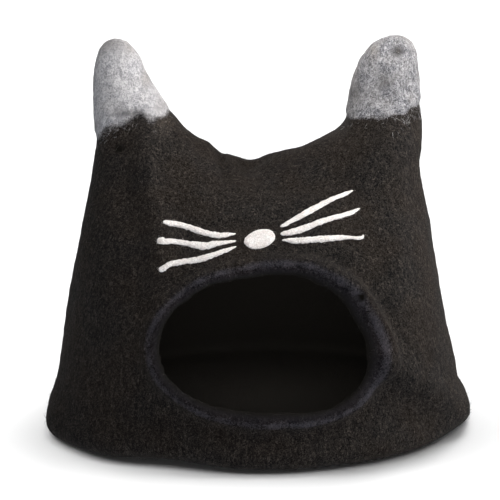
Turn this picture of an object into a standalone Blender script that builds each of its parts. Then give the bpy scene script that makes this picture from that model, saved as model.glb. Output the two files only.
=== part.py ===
"""Felt cat cave: one hollow body of wet-felted black wool with two ears and an oval doorway,
a layer of grey wool laid over the end of each ear, and a nose and six whiskers of white wool
pressed onto the front.

Metres, +Z up, the doorway toward -Y. The origin is the middle of the flat underside.
"""
import math
from collections import namedtuple

import bmesh
import bpy
from mathutils import Vector
from mathutils.bvhtree import BVHTree

OBJECT_NAME = "felt_cat_cave"

FELT = 0.008          # the body's felt is this thick all round
GREY_LAYER = 0.0017   # grey wool over the ear ends
GAP = 0.0003          # between one piece and the next

# The body's outer face: a row for each height, with how far it reaches from the origin to each side.
# square is the exponent of the plan's rounded outline: 2 is an ellipse, 3 has fuller corners.
# turn is how far the outline leans from square to the front: y grows by that share of x.
# dish is how far the middle of the front is drawn in between the two ear columns.
Level = namedtuple("Level", "height left right front back square turn dish")
LEVELS = [
    Level(0.000, 0.2090, 0.2080, 0.2010, 0.1900, 2.25, 0.07, 0.000),
    Level(0.005, 0.2200, 0.2185, 0.2110, 0.2010, 2.25, 0.07, 0.000),
    Level(0.015, 0.2235, 0.2220, 0.2140, 0.2050, 2.25, 0.07, 0.000),
    Level(0.030, 0.2170, 0.2140, 0.2080, 0.2010, 2.25, 0.06, 0.000),
    Level(0.050, 0.2120, 0.2075, 0.2015, 0.1950, 2.3, 0.04, 0.000),
    Level(0.080, 0.2075, 0.2010, 0.1925, 0.1860, 2.35, 0.02, 0.000),
    Level(0.112, 0.2020, 0.1940, 0.1820, 0.1760, 2.45, 0.00, 0.000),
    Level(0.145, 0.1960, 0.1875, 0.1695, 0.1640, 2.6, 0.00, 0.001),
    Level(0.180, 0.1885, 0.1805, 0.1510, 0.1480, 2.8, 0.00, 0.004),
    Level(0.210, 0.1810, 0.1745, 0.1300, 0.1290, 3.0, 0.00, 0.007),
    Level(0.240, 0.1745, 0.1690, 0.1020, 0.1020, 3.2, 0.00, 0.007),
]
DISH_REACH = 0.62     # the dish ends at this share of the half-width

# Where a ring's points stand: their share of the half-width, from the middle out to the side.
QUARTER_STEPS = 8
SHARES = [math.sin(math.radians(90 * k / QUARTER_STEPS)) for k in range(QUARTER_STEPS + 1)]
FLOOR_RINGS = (0.93, 0.50)    # the floor's inner rings, as shares of its rim

# The rounded ridge between the ears: a row for each column of points across the middle.
Ridge = namedtuple("Ridge", "column top")
RIDGE = [
    Ridge(-2, 0.2930),
    Ridge(-1, 0.2735),
    Ridge(0, 0.2635),
    Ridge(1, 0.2790),
    Ridge(2, 0.2905),
]
SHOULDER_DEPTH = 0.055        # of the rows in front of and behind the ridge
SHOULDER_DROP = 0.28          # their share of the way down from the ridge to the last level

# The black ears, foot to tip: the outer and the inner edge seen from the front, and the half depth.
Ear = namedtuple("Ear", "outer_x outer_z inner_x inner_z depth")
LEFT_EAR = [
    Ear(-0.1720, 0.2640, -0.0720, 0.2985, 0.0730),
    Ear(-0.1690, 0.2860, -0.0825, 0.3085, 0.0560),
    Ear(-0.1690, 0.3090, -0.0955, 0.3200, 0.0430),
    Ear(-0.1680, 0.3300, -0.1065, 0.3350, 0.0330),
    Ear(-0.1670, 0.3510, -0.1160, 0.3530, 0.0255),
    Ear(-0.1645, 0.3710, -0.1250, 0.3705, 0.0190),
    Ear(-0.1575, 0.3850, -0.1320, 0.3830, 0.0115),
]
LEFT_TIP = (-0.1445, 0.3885)
RIGHT_EAR = [
    Ear(0.1675, 0.2660, 0.0735, 0.2955, 0.0730),
    Ear(0.1675, 0.2900, 0.0830, 0.3065, 0.0570),
    Ear(0.1660, 0.3130, 0.0895, 0.3180, 0.0460),
    Ear(0.1640, 0.3330, 0.0940, 0.3330, 0.0380),
    Ear(0.1630, 0.3520, 0.0970, 0.3520, 0.0320),
    Ear(0.1605, 0.3710, 0.1045, 0.3700, 0.0250),
    Ear(0.1540, 0.3865, 0.1170, 0.3855, 0.0150),
]
RIGHT_TIP = (0.1365, 0.3915)
EAR_SQUARE = 2.3

# The doorway: bearings go from +X toward +Z about its middle, and reach is its clear edge there.
# lip is the width of the rolled edge round it, and proud how far that stands off the wall.
DOOR_X, DOOR_Z = 0.005, 0.112
Door = namedtuple("Door", "bearing reach lip proud")
DOOR = [
    Door(0, 0.0965, 0.019, 0.0045),
    Door(30, 0.0850, 0.020, 0.0060),
    Door(60, 0.0725, 0.015, 0.0040),
    Door(90, 0.0640, 0.013, 0.0030),
    Door(120, 0.0680, 0.013, 0.0030),
    Door(150, 0.0825, 0.013, 0.0030),
    Door(180, 0.0965, 0.014, 0.0030),
    Door(210, 0.0770, 0.014, 0.0030),
    Door(240, 0.0585, 0.014, 0.0035),
    Door(270, 0.0530, 0.014, 0.0040),
    Door(300, 0.0605, 0.014, 0.0040),
    Door(330, 0.0830, 0.016, 0.0045),
]
DOOR_COLUMNS = 3      # the doorway takes this many columns of faces on each side of the middle
DOOR_LEVELS = (4, 8)  # and the bands of faces between these two levels
LIP_RINGS = ((0.5, 1.0), (0.0, 0.4))    # share of the lip's width, share of its stand-off

# Soft folds of the front wall: a swelling between two points (x, z), its half width and its height.
Fold = namedtuple("Fold", "from_x from_z to_x to_z half_width proud")
FOLDS = [
    Fold(0.135, 0.095, 0.205, 0.016, 0.026, 0.0060),
    Fold(-0.118, 0.255, -0.114, 0.150, 0.030, 0.0040),
    Fold(0.108, 0.250, 0.112, 0.165, 0.028, 0.0035),
    Fold(-0.060, 0.034, 0.080, 0.034, 0.016, -0.0035),
]

# The grey layer ends at a slanted line (x, z) to (x, z) across each ear, and covers what is above.
Line = namedtuple("Line", "from_x from_z to_x to_z")
GREY_EDGES = {
    "ear_tip_left": Line(-0.167, 0.289, -0.088, 0.311),
    "ear_tip_right": Line(0.086, 0.311, 0.165, 0.324),
}

# White wool: each whisker's line, root to tip, as (x, z) on the front, and its half widths.
WHISKER_ROOT, WHISKER_TIP = 0.0027, 0.0019
WHISKER_PROUD = 0.0016
WHISKERS = {
    "whisker_left_top": ((-0.0228, 0.2095), (-0.0370, 0.2081), (-0.0627, 0.2134), (-0.0935, 0.2200)),
    "whisker_left_middle": ((-0.0227, 0.2030), (-0.0400, 0.2010), (-0.0701, 0.2018), (-0.0985, 0.2031)),
    "whisker_left_bottom": ((-0.0236, 0.1975), (-0.0439, 0.1925), (-0.0697, 0.1865), (-0.0955, 0.1790)),
    "whisker_right_top": ((0.0199, 0.2165), (0.0459, 0.2272), (0.0690, 0.2375), (0.0905, 0.2452)),
    "whisker_right_middle": ((0.0199, 0.2112), (0.0456, 0.2160), (0.0700, 0.2230), (0.0963, 0.2293)),
    "whisker_right_bottom": ((0.0211, 0.2050), (0.0501, 0.2051), (0.0750, 0.2062), (0.0980, 0.2047)),
}
WHISKER_STEP = 0.0045         # between the points along a whisker
NOSE_X, NOSE_Z = -0.0003, 0.2050
NOSE_WIDE, NOSE_HIGH, NOSE_PROUD = 0.0153, 0.0084, 0.0024    # half sizes, and its height off the wall
NOSE_TILT = math.radians(14)

BLACK_FELT = ("black felt", "2a2623", 0.95)
GREY_FELT = ("grey felt", "a9a6a8", 0.95)
WHITE_WOOL = ("white wool", "ebe4de", 0.9)


def clear_scene():
    for old in list(bpy.data.objects):
        bpy.data.objects.remove(old, do_unlink=True)


def make_material(name, colour_hex, roughness):
    """A Principled BSDF of one sRGB colour."""
    def linear(channel):
        value = int(colour_hex[channel:channel + 2], 16) / 255
        return value / 12.92 if value <= 0.04045 else ((value + 0.055) / 1.055) ** 2.4

    material = bpy.data.materials.new(name)
    material.use_nodes = True
    shader = material.node_tree.nodes["Principled BSDF"]
    shader.inputs["Base Color"].default_value = (linear(0), linear(2), linear(4), 1)
    shader.inputs["Roughness"].default_value = roughness
    shader.inputs["Metallic"].default_value = 0
    return material


def make_object(name, mesh, collection, material=None):
    obj = bpy.data.objects.new(name, mesh)
    collection.objects.link(obj)
    if material:
        mesh.materials.clear()
        mesh.materials.append(material)
    mesh.shade_smooth()
    return obj


def evaluated_mesh(obj):
    """The object's mesh after its modifiers, as a new mesh."""
    graph = bpy.context.evaluated_depsgraph_get()
    return bpy.data.meshes.new_from_object(obj.evaluated_get(graph))


def blend(rows, key, value, column):
    """A column of a table, read between its rows."""
    low = rows[0]
    for high in rows[1:]:
        if value <= getattr(high, key):
            break
        low = high
    span = getattr(high, key) - getattr(low, key)
    share = min(max((value - getattr(low, key)) / span, 0), 1) if span else 0
    return getattr(low, column) * (1 - share) + getattr(high, column) * share


def level_at(height):
    return Level(height, *(blend(LEVELS, "height", height, c) for c in Level._fields[1:]))


def half_depth(level, share, reach):
    """How deep the plan's outline is at a share of its half-width."""
    return reach * (1 - min(abs(share), 1) ** level.square) ** (1 / level.square)


def front_y(x, level):
    share = x / (level.left if x < 0 else level.right)
    dish = level.dish * max(0, 1 - (share / DISH_REACH) ** 2) ** 2
    return level.turn * x + dish - half_depth(level, share, level.front)


def fold_height(x, z):
    """How far the folds push the front wall out at (x, z)."""
    total = 0
    for fold in FOLDS:
        start = Vector((fold.from_x, fold.from_z))
        run = Vector((fold.to_x, fold.to_z)) - start
        here = Vector((x, z)) - start
        along = min(max(here.dot(run) / run.length_squared, 0), 1)
        off = (here - along * run).length / fold.half_width
        total += fold.proud * math.exp(-off * off)
    return total


def front_point(x, z, proud=0.0):
    """A point of the front wall's outer face, with its folds."""
    level = level_at(z)
    step = 0.004
    point = Vector((x, front_y(x, level), z))
    side = Vector((step, front_y(x + step, level) - front_y(x - step, level), 0))
    side.x *= 2
    above, below = level_at(z + step), level_at(z - step)
    up = Vector((0, front_y(x, above) - front_y(x, below), above.height - below.height))
    normal = side.cross(up).normalized()
    return point + normal * (proud + fold_height(x, z))


def ring_points(level):
    """A closed ring of the wall: the left side, the front, the right side and the back."""
    across = [-s for s in SHARES[:0:-1]] + SHARES
    front = []
    back = []
    for share in across[1:-1]:
        x = share * (level.left if share < 0 else level.right)
        folded = front_point(x, level.height)
        front.append(Vector((folded.x, folded.y, level.height)))
        back.append(Vector((x, level.turn * x + half_depth(level, share, level.back), level.height)))
    left = Vector((-level.left, -level.turn * level.left, level.height))
    right = Vector((level.right, level.turn * level.right, level.height))
    return [left, *front, right, *reversed(back)]


def fill_between(bm, lower, upper):
    """Faces between two closed rows of points."""
    for k in range(len(lower)):
        after = (k + 1) % len(lower)
        bm.faces.new((lower[k], lower[after], upper[after], upper[k]))


def fill_strip(bm, row, next_row):
    """Faces between two open rows of points."""
    for k in range(len(row) - 1):
        bm.faces.new((row[k], row[k + 1], next_row[k + 1], next_row[k]))


def fill_fan(bm, row, point):
    middle = bm.verts.new(point)
    for k in range(len(row)):
        bm.faces.new((row[k], row[(k + 1) % len(row)], middle))


def build_walls(bm):
    """The rings of the wall and the faces between them, without those of the doorway."""
    rings = [[bm.verts.new(p) for p in ring_points(level)] for level in LEVELS]
    middle = QUARTER_STEPS          # the index of the front's middle point in a ring
    door_columns = range(middle - DOOR_COLUMNS, middle + DOOR_COLUMNS)
    for band, (lower, upper) in enumerate(zip(rings, rings[1:])):
        for k in range(len(lower)):
            if k in door_columns and DOOR_LEVELS[0] <= band < DOOR_LEVELS[1]:
                continue
            after = (k + 1) % len(lower)
            bm.faces.new((lower[k], lower[after], upper[after], upper[k]))
    return rings


def build_floor(bm, rim):
    """The flat underside, in rings drawn toward its middle."""
    outer = rim
    for share in FLOOR_RINGS:
        inner = [bm.verts.new((v.co.x * share, v.co.y * share, 0)) for v in rim]
        fill_between(bm, inner, outer)
        outer = inner
    fill_fan(bm, outer, (0, 0, 0))


def build_ridge(bm, top_ring):
    """The rounded top between the ears. Returns its first and last row across, for the ears."""
    middle = QUARTER_STEPS
    count = len(top_ring)
    rows = []
    for step in RIDGE:
        front = top_ring[middle + step.column]
        back = top_ring[count - middle - step.column]
        x = front.co.x
        shoulder = step.top - SHOULDER_DROP * (step.top - front.co.z)
        across = [
            bm.verts.new((x, -SHOULDER_DEPTH, shoulder)),
            bm.verts.new((x, 0, step.top)),
            bm.verts.new((x, SHOULDER_DEPTH, shoulder)),
        ]
        rows.append([front, *across, back])
    for row, next_row in zip(rows, rows[1:]):
        fill_strip(bm, row, next_row)
    return rows[0], rows[-1]


def ear_ring(section, count):
    """A slanted oval of the ear, from its outer edge along the front to its inner edge and back."""
    outer = Vector((section.outer_x, 0, section.outer_z))
    inner = Vector((section.inner_x, 0, section.inner_z))
    centre = (outer + inner) / 2
    half = (inner - outer) / 2
    points = []
    for k in range(count):
        angle = 2 * math.pi * k / count
        cosine, sine = math.cos(angle), math.sin(angle)
        along = math.copysign(abs(cosine) ** (2 / EAR_SQUARE), cosine)
        deep = math.copysign(abs(sine) ** (2 / EAR_SQUARE), sine)
        points.append(centre - half * along - Vector((0, section.depth * deep, 0)))
    return points


def build_ear(bm, foot, sections, tip):
    """An ear on its foot, a closed row that starts at the outer edge and runs along the front."""
    lower = foot
    for section in sections:
        upper = [bm.verts.new(p) for p in ear_ring(section, len(foot))]
        fill_between(bm, lower, upper)
        lower = upper
    fill_fan(bm, lower, (tip[0], 0, tip[1]))


def door_row(bearing):
    """The doorway's table read at any bearing, on a smooth closed curve through its rows."""
    step = 360 / len(DOOR)
    place = (bearing % 360) / step
    k = int(place)
    t = place - k
    p0, p1, p2, p3 = (DOOR[(k + n) % len(DOOR)] for n in (-1, 0, 1, 2))
    values = []
    for c in ("reach", "lip", "proud"):
        a, b, d, e = (getattr(p, c) for p in (p0, p1, p2, p3))
        bend = (2 * a - 5 * b + 4 * d - e) * t + (3 * (b - d) + e - a) * t * t
        values.append(0.5 * (2 * b + (d - a) * t + bend * t))
    return Door(bearing, *values)


def door_loop(rings):
    """The points round the doorway's block of faces, from the lower left corner along the bottom."""
    middle = QUARTER_STEPS
    first, last = middle - DOOR_COLUMNS, middle + DOOR_COLUMNS
    low, high = DOOR_LEVELS
    bottom = [rings[low][k] for k in range(first, last + 1)]
    right = [rings[level][last] for level in range(low + 1, high)]
    top = [rings[high][k] for k in range(last, first - 1, -1)]
    left = [rings[level][first] for level in range(high - 1, low, -1)]
    return bottom, right, top, left


def door_bearings(parts):
    """A bearing for each point of the loop, evenly round an oval, with its corners at 45 degrees."""
    wide, high = 0.107, 0.070
    bottom, right, top, left = parts
    turns = [-135 + 90 * k / (len(bottom) - 1) for k in range(len(bottom))]
    turns += [-45 + 90 * (k + 1) / (len(right) + 1) for k in range(len(right))]
    turns += [45 + 90 * k / (len(top) - 1) for k in range(len(top))]
    turns += [135 + 90 * (k + 1) / (len(left) + 1) for k in range(len(left))]
    radians = [math.radians(t) for t in turns]
    return [math.degrees(math.atan2(high * math.sin(r), wide * math.cos(r))) for r in radians]


def build_doorway(bm, rings):
    """Moves the edge of the doorway's block onto its oval and rolls the lip inside it."""
    parts = door_loop(rings)
    bearings = door_bearings(parts)
    outer = [v for part in parts for v in part]

    def at(bearing, lip_share, proud_share):
        row = door_row(bearing)
        reach = row.reach + lip_share * row.lip
        x = DOOR_X + reach * math.cos(math.radians(bearing))
        z = DOOR_Z + reach * math.sin(math.radians(bearing))
        return front_point(x, z, proud_share * row.proud)

    for vert, bearing in zip(outer, bearings):
        vert.co = at(bearing, 1, 0)
    for lip_share, proud_share in LIP_RINGS:
        inner = [bm.verts.new(at(b, lip_share, proud_share)) for b in bearings]
        fill_between(bm, inner, outer)
        outer = inner


def build_cage():
    """The outer face of the body, as one coarse open sheet."""
    bm = bmesh.new()
    rings = build_walls(bm)
    build_floor(bm, rings[0])
    left_row, right_row = build_ridge(bm, rings[-1])
    top = rings[-1]
    middle = QUARTER_STEPS
    reach = RIDGE[-1].column
    left_foot = top[:middle - reach] + left_row + top[len(top) - middle + reach + 1:]
    right_foot = top[2 * middle:middle + reach:-1] + right_row
    right_foot += top[len(top) - middle - reach - 1:2 * middle:-1]
    build_ear(bm, left_foot, LEFT_EAR, LEFT_TIP)
    build_ear(bm, right_foot, RIGHT_EAR, RIGHT_TIP)
    build_doorway(bm, rings)
    bmesh.ops.recalc_face_normals(bm, faces=bm.faces)
    mesh = bpy.data.meshes.new("felt_body")
    bm.to_mesh(mesh)
    bm.free()
    return mesh


def add_subdivision(obj, levels):
    smooth = obj.modifiers.new("soft form", "SUBSURF")
    smooth.levels = levels
    smooth.render_levels = levels


def build_body(collection, material):
    body = make_object("felt_body", build_cage(), collection, material)
    thick = body.modifiers.new("felt", "SOLIDIFY")
    thick.thickness = FELT
    thick.offset = -1
    add_subdivision(body, 1)
    return body


def build_grey_layer(name, skin_mesh, collection, material):
    """The skin of one ear above a slanted line, lifted off the ear and given its own thickness."""
    edge = GREY_EDGES[name]
    bm = bmesh.new()
    bm.from_mesh(skin_mesh)
    middle_x = (edge.from_x + edge.to_x) / 2
    side = math.copysign(1, middle_x)
    everything = bm.verts[:] + bm.edges[:] + bm.faces[:]
    bmesh.ops.bisect_plane(bm, geom=everything, plane_co=(0, 0, 0), plane_no=(side, 0, 0), clear_inner=True)
    slope = Vector((edge.to_x - edge.from_x, 0, edge.to_z - edge.from_z)).normalized()
    upward = Vector((-slope.z, 0, slope.x))
    everything = bm.verts[:] + bm.edges[:] + bm.faces[:]
    bmesh.ops.bisect_plane(
        bm, geom=everything, dist=0.00005, plane_co=(edge.from_x, 0, edge.from_z), plane_no=upward,
        clear_inner=True)
    bmesh.ops.remove_doubles(bm, verts=bm.verts, dist=0.0001)
    bm.normal_update()
    for vert, normal in [(v, v.normal.copy()) for v in bm.verts]:
        vert.co += normal * GAP
    mesh = bpy.data.meshes.new(name)
    bm.to_mesh(mesh)
    bm.free()
    layer = make_object(name, mesh, collection, material)
    thick = layer.modifiers.new("wool", "SOLIDIFY")
    thick.thickness = GREY_LAYER
    thick.offset = 1
    return layer


def smooth_line(points, step):
    """A smooth line through a few points, in even steps."""
    padded = [2 * points[0] - points[1], *points, 2 * points[-1] - points[-2]]
    dense = []
    for p0, p1, p2, p3 in zip(padded, padded[1:], padded[2:], padded[3:]):
        for k in range(20):
            t = k / 20
            bend = (2 * p0 - 5 * p1 + 4 * p2 - p3) * t + (3 * (p1 - p2) + p3 - p0) * t * t
            dense.append(0.5 * (2 * p1 + (p2 - p0) * t + bend * t))
    dense.append(points[-1])
    length = sum((b - a).length for a, b in zip(dense, dense[1:]))
    count = max(2, round(length / step))
    line = [dense[0]]
    walked = 0
    for a, b in zip(dense, dense[1:]):
        walked += (b - a).length
        if walked >= length * len(line) / count - 1e-9:
            line.append(b)
    return line


def press_on(obj, wall, proud_scale):
    """Lays a flat-lying mesh on the wall: its lower half becomes flat, and follows the wall."""
    for vert in obj.data.vertices:
        x, y, z = vert.co
        hit, normal, _, _ = wall.ray_cast(Vector((x, -1, z)), Vector((0, 1, 0)))
        vert.co = hit + normal * (GAP + max(0, -y) * proud_scale)


def build_whisker(name, wall, collection, material):
    """A strand of wool: a tapered tube along its line, pressed flat onto the wall."""
    line = smooth_line([Vector(p) for p in WHISKERS[name]], WHISKER_STEP)
    curve = bpy.data.curves.new(name, "CURVE")
    curve.dimensions = "3D"
    curve.bevel_depth = 1.0
    curve.bevel_resolution = 2
    curve.use_fill_caps = True
    spline = curve.splines.new("POLY")
    spline.points.add(len(line) - 1)
    for k, point in enumerate(line):
        share = k / (len(line) - 1)
        spline.points[k].co = (point.x, 0, point.y, 1)
        spline.points[k].radius = WHISKER_ROOT * (1 - share) + WHISKER_TIP * share
    drawn = bpy.data.objects.new(name + "_line", curve)
    collection.objects.link(drawn)
    mesh = evaluated_mesh(drawn)
    bpy.data.objects.remove(drawn, do_unlink=True)
    bm = bmesh.new()
    bm.from_mesh(mesh)
    bmesh.ops.remove_doubles(bm, verts=bm.verts, dist=0.00005)
    bm.to_mesh(mesh)
    bm.free()
    whisker = make_object(name, mesh, collection, material)
    press_on(whisker, wall, WHISKER_PROUD / WHISKER_ROOT)
    return whisker


def build_nose(wall, collection, material):
    """A dab of wool: an oval bead pressed flat onto the wall."""
    bm = bmesh.new()
    bmesh.ops.create_uvsphere(bm, u_segments=18, v_segments=10, radius=1)
    for vert in bm.verts:
        across = vert.co.x * NOSE_WIDE
        up = vert.co.y * NOSE_HIGH
        x = across * math.cos(NOSE_TILT) - up * math.sin(NOSE_TILT)
        z = across * math.sin(NOSE_TILT) + up * math.cos(NOSE_TILT)
        vert.co = Vector((NOSE_X + x, -vert.co.z, NOSE_Z + z))
    mesh = bpy.data.meshes.new("nose")
    bm.to_mesh(mesh)
    bm.free()
    nose = make_object("nose", mesh, collection, material)
    press_on(nose, wall, NOSE_PROUD)
    return nose


def main():
    clear_scene()
    collection = bpy.data.collections.new(OBJECT_NAME)
    bpy.context.scene.collection.children.link(collection)
    black = make_material(*BLACK_FELT)
    body = build_body(collection, black)

    skin = bpy.data.objects.new("skin", body.data)
    collection.objects.link(skin)
    add_subdivision(skin, 1)
    skin_mesh = evaluated_mesh(skin)
    bpy.data.objects.remove(skin, do_unlink=True)
    for name in GREY_EDGES:
        grey = make_material(name + " " + GREY_FELT[0], *GREY_FELT[1:])
        build_grey_layer(name, skin_mesh, collection, grey)

    wall = BVHTree.FromObject(body, bpy.context.evaluated_depsgraph_get())
    for name in WHISKERS:
        white = make_material(name + " " + WHITE_WOOL[0], *WHITE_WOOL[1:])
        build_whisker(name, wall, collection, white)
    build_nose(wall, collection, make_material("nose " + WHITE_WOOL[0], *WHITE_WOOL[1:]))
    bpy.data.meshes.remove(skin_mesh)


main()
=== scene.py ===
# %% [markdown]
# # Felt cat cave
#
# This bed for a cat is one hollow shell of wool. A maker lays loose black wool round a flat form,
# wets it with soap and rubs it until it shrinks and locks into felt about 8 mm thick. Then the
# doorway is cut, its edge is rolled and rubbed, and the wet shell is stood up to dry. Grey wool is
# felted over the ends of the ears, and white wool is pushed in with a barbed needle for the nose
# and the whiskers.
#
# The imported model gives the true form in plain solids. This file dresses them: a finely meshed
# shell with the dents that hands leave, the grey and the white wool as pieces of their own, loose
# hairs, and a material for each wool.

import math
from collections import namedtuple

import bpy
import numpy as np
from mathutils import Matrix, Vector, noise
from mathutils.bvhtree import BVHTree


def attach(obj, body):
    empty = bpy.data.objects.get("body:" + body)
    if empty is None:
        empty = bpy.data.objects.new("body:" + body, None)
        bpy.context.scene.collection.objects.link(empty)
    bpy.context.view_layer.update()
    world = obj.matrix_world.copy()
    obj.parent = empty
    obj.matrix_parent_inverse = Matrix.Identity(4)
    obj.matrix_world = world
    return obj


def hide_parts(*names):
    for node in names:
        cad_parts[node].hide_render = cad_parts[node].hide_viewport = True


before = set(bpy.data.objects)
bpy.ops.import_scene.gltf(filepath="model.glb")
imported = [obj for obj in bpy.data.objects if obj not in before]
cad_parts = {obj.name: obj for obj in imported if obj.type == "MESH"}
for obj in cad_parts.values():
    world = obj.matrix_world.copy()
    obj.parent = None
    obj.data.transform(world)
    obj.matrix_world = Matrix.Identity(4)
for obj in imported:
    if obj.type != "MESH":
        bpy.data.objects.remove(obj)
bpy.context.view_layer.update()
print("pieces of the model:", ", ".join(sorted(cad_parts)))

# %% [markdown]
# ## The camera
#
# The picture was taken from a little above the cave, with a long lens. A long lens from far off
# keeps the base and the ears at nearly one scale, so the camera stands 1.4 m away and looks down
# 11 degrees. It comes first, because it tells how fine the rest has to be: a pixel is about 1 mm.

# %% Camera
LENS_MM, SENSOR_MM = 96.26, 36.0
CAMERA_PLACE = (-0.0095, -1.3743, 0.4371)
LOOK_DOWN = math.radians(11)

camera_data = bpy.data.cameras.new("camera")
camera_data.lens, camera_data.sensor_width = LENS_MM, SENSOR_MM
camera = bpy.data.objects.new("camera", camera_data)
camera.location = CAMERA_PLACE
camera.rotation_euler = (math.radians(90) - LOOK_DOWN, 0, 0)
bpy.context.scene.collection.objects.link(camera)
bpy.context.scene.camera = camera
print("camera: %.1f mm lens, looking down %.0f degrees" % (LENS_MM, math.degrees(LOOK_DOWN)))

# %% [markdown]
# ## Helpers for the meshes
#
# Felt has no seams and no straight edges, so every surface here is a mesh whose points are moved a
# little. numpy moves all the points of a mesh at once, and Blender's own noise says how far. Noise
# is a smooth random field: the same place always gives the same value, so the cave comes out the
# same each time.

# %% Points, faces and noise
def new_piece(name, points, faces):
    """A mesh object from an array of points and a list of faces."""
    mesh = bpy.data.meshes.new(name)
    mesh.from_pydata(np.asarray(points).tolist(), [], faces)
    mesh.update()
    made = bpy.data.objects.new(name, mesh)
    bpy.context.scene.collection.objects.link(made)
    return made


def ring_faces(rings, sides):
    """The faces between rings of points that are numbered ring after ring."""
    return [[r * sides + k, r * sides + (k + 1) % sides,
             (r + 1) * sides + (k + 1) % sides, (r + 1) * sides + k]
            for r in range(rings - 1) for k in range(sides)]


def points_of(mesh):
    flat = np.empty(len(mesh.vertices) * 3)
    mesh.vertices.foreach_get("co", flat)
    return flat.reshape(-1, 3)


def normals_of(mesh):
    flat = np.empty(len(mesh.vertices) * 3)
    mesh.vertices.foreach_get("normal", flat)
    return flat.reshape(-1, 3)


def move_to(mesh, points):
    mesh.vertices.foreach_set("co", points.ravel())
    mesh.update()


SEED_APART = (17.3, 5.1, 29.7)       # how far apart two seeds look in the noise, in lumps


def lumps(points, size, seed):
    """Soft noise from about -1 to 1 at each point. size is the width of one lump, in metres."""
    shift = Vector([away * seed for away in SEED_APART])
    return np.array([noise.noise(Vector(p) / size + shift) for p in points])


def waves(points, rows, seed):
    """Lumps of several sizes added up. Each row is a size and a height."""
    return sum(height * lumps(points, size, seed + k) for k, (size, height) in enumerate(rows))


def step(value, low, high):
    """0 below low, 1 above high, and a soft curve in between."""
    share = np.clip((value - low) / (high - low), 0, 1)
    return share * share * (3 - 2 * share)


def soft_row(rows, count):
    """count rows of numbers on a smooth curve through the given ones (Catmull-Rom)."""
    rows = np.array(rows, float)
    padded = np.vstack([2 * rows[0] - rows[1], rows, 2 * rows[-1] - rows[-2]])
    made = []
    for t in np.linspace(0, len(rows) - 1 - 1e-9, count):
        k, s = int(t), t - int(t)
        a, b, c, d = padded[k:k + 4]
        made.append(0.5 * (2 * b + (c - a) * s + (2 * a - 5 * b + 4 * c - d) * s**2
                           + (3 * b - a - 3 * c + d) * s**3))
    return np.array(made)


def apply_modifiers(piece):
    """Replaces the piece's mesh by what its modifiers make of it."""
    depsgraph = bpy.context.evaluated_depsgraph_get()
    mesh = bpy.data.meshes.new_from_object(piece.evaluated_get(depsgraph))
    piece.modifiers.clear()
    piece.data = mesh


# %% [markdown]
# ## The black shell
#
# The solid of the body is made of faces about 15 mm wide. Felt is rounder than that, so its copy
# gets an even mesh with a Remesh modifier, fine enough that its faces are too small to see, and is
# then smoothed. Plain smoothing would shrink the thin walls. Taubin smoothing takes one step in
# and one slightly longer step out, over and over: the corners go and the walls stay.

# %% Even mesh, smoothed
VOXEL = 0.0038            # width of one face of the shell
SMOOTHING_ROUNDS = 28
STEP_IN, STEP_OUT = 0.50, -0.53


def smooth(mesh, rounds):
    edges = np.empty(len(mesh.edges) * 2, int)
    mesh.edges.foreach_get("vertices", edges)
    edges = edges.reshape(-1, 2)
    here = np.concatenate([edges[:, 0], edges[:, 1]])
    there = np.concatenate([edges[:, 1], edges[:, 0]])
    points = points_of(mesh)
    count = np.bincount(here, minlength=len(points))[:, None]
    for _ in range(rounds):
        for share in (STEP_IN, STEP_OUT):
            total = [np.bincount(here, weights=points[there, k], minlength=len(points))
                     for k in range(3)]
            points = points + share * (np.stack(total, 1) / count - points)
    move_to(mesh, points)


shell = bpy.data.objects.new("felt_shell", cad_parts["felt_body"].data.copy())
shell.data.materials.clear()
bpy.context.scene.collection.objects.link(shell)
even = shell.modifiers.new("even", "REMESH")
even.mode, even.voxel_size = "VOXEL", VOXEL
apply_modifiers(shell)
smooth(shell.data, SMOOTHING_ROUNDS)
print("shell:", len(shell.data.polygons), "faces")

# %% [markdown]
# ## Dents of the whole wall
#
# Hands wet, rub and stretch a felt shell, so its outline is never even. Each dent here takes hold
# of the wall at one place and pushes it some way, most in the middle and less and less toward its
# edge, as a thumb would. Its size is one reach for all ways, or a reach along x, y and z where a
# whole hand bent the ridge over. Both faces move together: the wall is one thickness of felt.

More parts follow.
